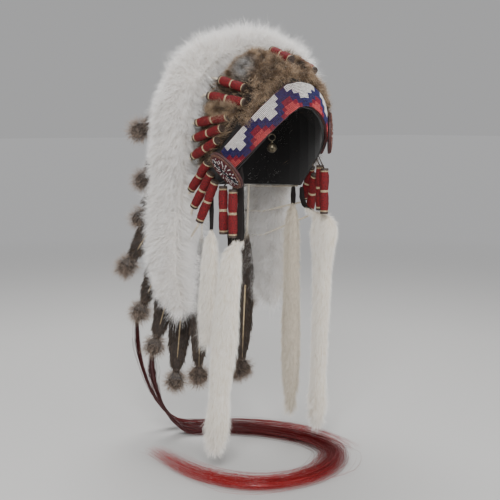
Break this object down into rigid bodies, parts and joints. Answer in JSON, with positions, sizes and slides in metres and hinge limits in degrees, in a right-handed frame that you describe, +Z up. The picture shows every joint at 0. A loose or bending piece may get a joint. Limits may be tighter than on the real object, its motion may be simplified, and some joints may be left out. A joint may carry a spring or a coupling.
{
  "type": "feathered headdress",
  "caption": "Felt cap with a beaded brow band, fur crown and wrapped quills, a full-length down ruff, feathers at the back, fur tails and trailing red horsehair.",
  "frame": {"origin": "inside of the cap at the top of the crown, where it rests on the wearer's head", "axes": "+Z up, -Y the way the wearer faces, -X the wearer's right"},
  "size_m": [0.2906, 0.3584, 0.6354],
  "materials": {
    "felt": "matt felt",
    "beadwork": "small opaque glass beads, gloss",
    "bell_brass": "dull, worn",
    "brown_fur": "long soft fur",
    "red_cloth": "matt wool cloth",
    "white_down": "fluffy down",
    "dark_feather": "feather, slight sheen",
    "white_fur": "soft fur",
    "red_hair": "dyed hair, slight sheen"
  },
  "bodies": {
    "root": {"bell": "bell_brass", "bell_ring": "bell_brass", "brow_band": "beadwork", "drop_L1": "red_cloth", "drop_L2": "red_cloth", "drop_R1": "red_cloth", "drop_R2": "red_cloth", "feather_L1": "dark_feather", "feather_L2": "dark_feather", "feather_L3": "dark_feather", "feather_L4": "dark_feather", "feather_L5": "dark_feather", "feather_L6": "dark_feather", "feather_L7": "dark_feather", "feather_L8": "dark_feather", "feather_L9": "dark_feather", "feather_R1": "dark_feather", "feather_R2": "dark_feather", "feather_R3": "dark_feather", "feather_R4": "dark_feather", "feather_R5": "dark_feather", "feather_R6": "dark_feather", "feather_R7": "dark_feather", "feather_R8": "dark_feather", "feather_R9": "dark_feather", "fur_cover": "brown_fur", "fur_patch_L": "brown_fur", "fur_patch_R": "brown_fur", "horsehair_main": "red_hair", "horsehair_wisp": "red_hair", "rosette_L": "beadwork", "rosette_R": "beadwork", "ruff": "white_down", "skull_cap": "felt", "tail_L_inner": "white_fur", "tail_L_long": "white_fur", "tail_R_long": "white_fur", "tail_R_short": "white_fur", "wrap_L1": "red_cloth", "wrap_L2": "red_cloth", "wrap_L3": "red_cloth", "wrap_L4": "red_cloth", "wrap_L5": "red_cloth", "wrap_L6": "red_cloth", "wrap_L7": "red_cloth", "wrap_L8": "red_cloth", "wrap_R1": "red_cloth", "wrap_R2": "red_cloth", "wrap_R3": "red_cloth", "wrap_R4": "red_cloth", "wrap_R5": "red_cloth", "wrap_R6": "red_cloth", "wrap_R7": "red_cloth", "wrap_R8": "red_cloth", "wrap_crown_1": "red_cloth", "wrap_crown_2": "red_cloth"}
  },
  "joints": []
}
